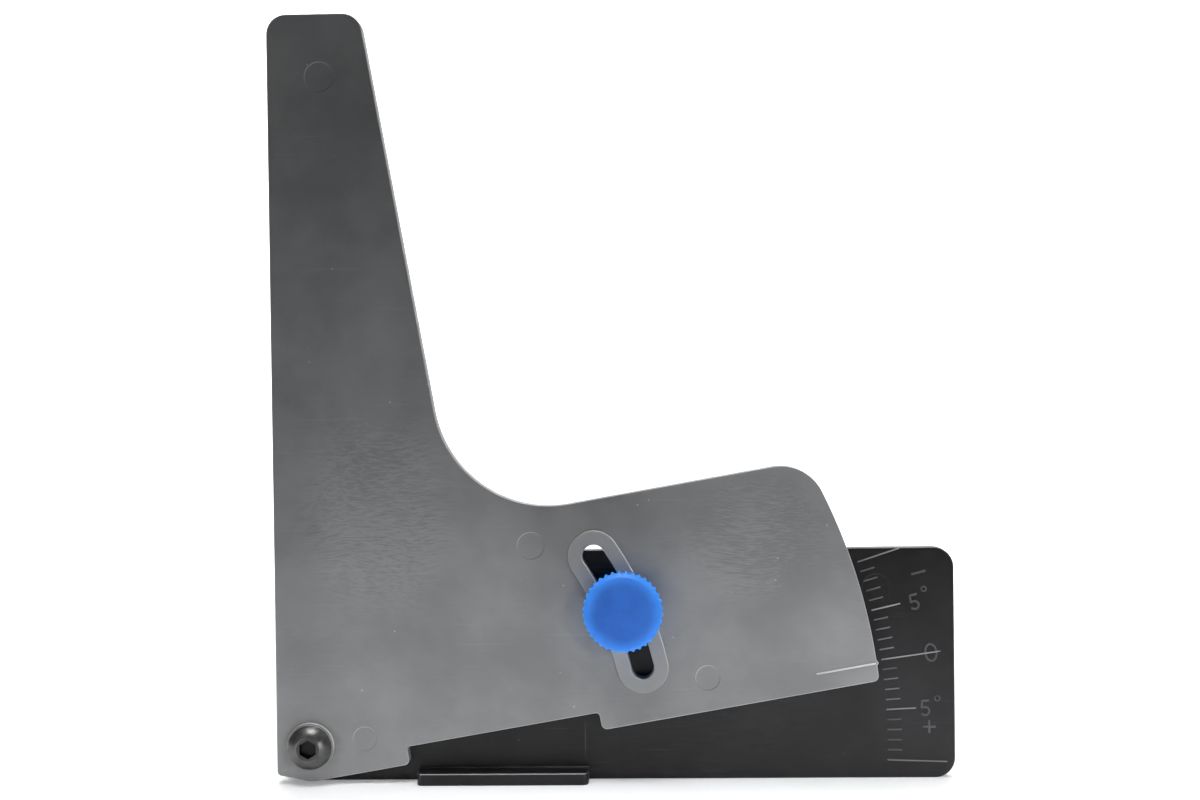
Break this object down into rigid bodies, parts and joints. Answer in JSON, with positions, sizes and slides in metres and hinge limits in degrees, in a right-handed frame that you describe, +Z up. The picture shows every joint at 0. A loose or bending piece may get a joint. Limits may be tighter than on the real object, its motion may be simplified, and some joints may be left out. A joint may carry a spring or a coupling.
{
  "type": "camber gauge",
  "caption": "Standing wheel camber gauge: a moulded plate with a raised degree scale and foot, and a pivoted pointer arm locked by a serrated knob through an arc slot.",
  "frame": {"origin": "on the underside of the standing plate, straight below the pivot axis, in the middle of the plate's thickness", "axes": "+X along the plate from the pivot towards the scale, +Z up, -Y out of the face with the scale and the knob"},
  "size_m": [0.1368, 0.0206, 0.155],
  "materials": {
    "plate_black": "moulded nylon, near black, satin",
    "arm_grey": "moulded nylon, dark grey, satin with faint flow marks",
    "screw_black": "black oxide steel, oiled",
    "zinc_steel": "zinc plated steel",
    "ring_nylon": "natural nylon",
    "knob_blue": "moulded nylon, blue, satin",
    "insert_brass": "turned brass"
  },
  "bodies": {
    "base": {"base_plate": "plate_black", "pivot_screw": "screw_black", "pivot_nut": "zinc_steel", "pivot_nut_ring": "ring_nylon", "clamp_screw": "zinc_steel"},
    "arm": {"arm": "arm_grey"},
    "clamp": {"clamp_washer": "zinc_steel"},
    "knob": {"knob": "knob_blue", "knob_insert": "insert_brass"}
  },
  "joints": [
    {"name": "arm_pivot", "type": "hinge", "parent": "base", "child": "arm", "pos_m": [0, 0, 0.0077], "axis": [0, -1, 0], "range_deg": [-10, 10]},
    {"name": "clamp_travel", "type": "slide", "parent": "base", "child": "clamp", "axis": [0, -1, 0], "range_m": [0, 0.00079375]},
    {"name": "knob_turn", "type": "hinge", "parent": "clamp", "child": "knob", "pos_m": [0.06333, -0.008, 0.03484], "axis": [0, -1, 0], "range_deg": [0, 360]}
  ],
  "couplings": [
    {"joint": "knob_turn", "follows": "clamp_travel", "rad_per_m": 7915.8}
  ]
}
